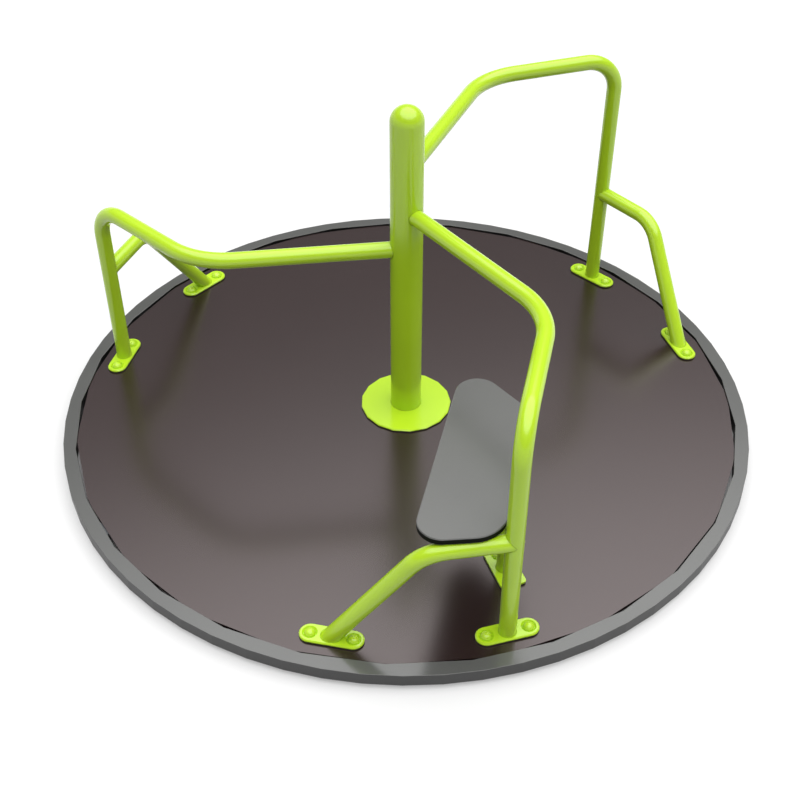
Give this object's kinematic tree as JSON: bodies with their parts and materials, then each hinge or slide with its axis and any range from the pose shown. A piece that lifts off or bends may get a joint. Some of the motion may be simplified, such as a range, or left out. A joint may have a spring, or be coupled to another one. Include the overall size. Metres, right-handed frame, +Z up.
{
  "type": "playground spinner",
  "caption": "Round deck that turns on a low fixed spindle, with bent tube hand rails at stepped heights around a domed centre post, and a small seat board.",
  "frame": {"origin": "on the axis of rotation, at the underside of the ground plate", "axes": "+Z up along the axis of rotation; -Y along the arm that carries the seat, which is the side the picture is taken from"},
  "size_m": [1.6984, 1.6984, 0.8715],
  "materials": {
    "lime_powder_coat": "satin powder coat",
    "deck_sheet": "dark brown-grey satin coat",
    "rim_paint": "satin grey paint",
    "frame_steel": "grey primer",
    "bearing_steel": "ground steel",
    "zinc_steel": "zinc plated",
    "black_rubber": "matt",
    "seat_laminate": "grey compact laminate with black core"
  },
  "bodies": {
    "ground_base": {"ground_plate": "zinc_steel", "spindle": "zinc_steel", "dust_seal": "black_rubber", "lower_bearing_inner_race": "bearing_steel", "inner_spacer": "zinc_steel", "upper_bearing_inner_race": "bearing_steel", "spindle_washer": "zinc_steel", "spindle_nut": "zinc_steel"},
    "platform": {"lower_bearing_outer_race": "bearing_steel", "lower_bearing_balls": "bearing_steel", "outer_spacer": "zinc_steel", "upper_bearing_outer_race": "bearing_steel", "upper_bearing_balls": "bearing_steel", "bearing_stop_ring": "zinc_steel", "post_circlip": "zinc_steel", "post": "lime_powder_coat", "post_cap": "lime_powder_coat", "post_flange": "lime_powder_coat", "hub_plate": "frame_steel", "hub_bolts": "zinc_steel", "deck": "deck_sheet", "rim_ring": "rim_paint", "spoke_1": "frame_steel", "spoke_2": "frame_steel", "spoke_3": "frame_steel", "spoke_4": "frame_steel", "spoke_5": "frame_steel", "spoke_6": "frame_steel", "rail_middle": "lime_powder_coat", "rail_high": "lime_powder_coat", "rail_low": "lime_powder_coat", "branch_middle": "lime_powder_coat", "branch_high": "lime_powder_coat", "branch_low": "lime_powder_coat", "leg_plate_middle": "lime_powder_coat", "leg_plate_high": "lime_powder_coat", "leg_plate_low": "lime_powder_coat", "branch_plate_middle": "lime_powder_coat", "branch_plate_high": "lime_powder_coat", "branch_plate_low": "lime_powder_coat", "foot_bolts": "lime_powder_coat", "foot_washers": "zinc_steel", "foot_nuts": "zinc_steel", "seat_board": "seat_laminate", "seat_leg": "lime_powder_coat", "seat_leg_plate": "lime_powder_coat", "seat_tab_outer": "lime_powder_coat", "seat_tab_side": "lime_powder_coat", "seat_tab_inner": "lime_powder_coat", "seat_screws": "zinc_steel"}
  },
  "joints": [
    {"name": "spin", "type": "hinge", "parent": "ground_base", "child": "platform", "pos_m": [0, 0, 0.25], "axis": [0, 0, 1], "continuous": true}
  ]
}
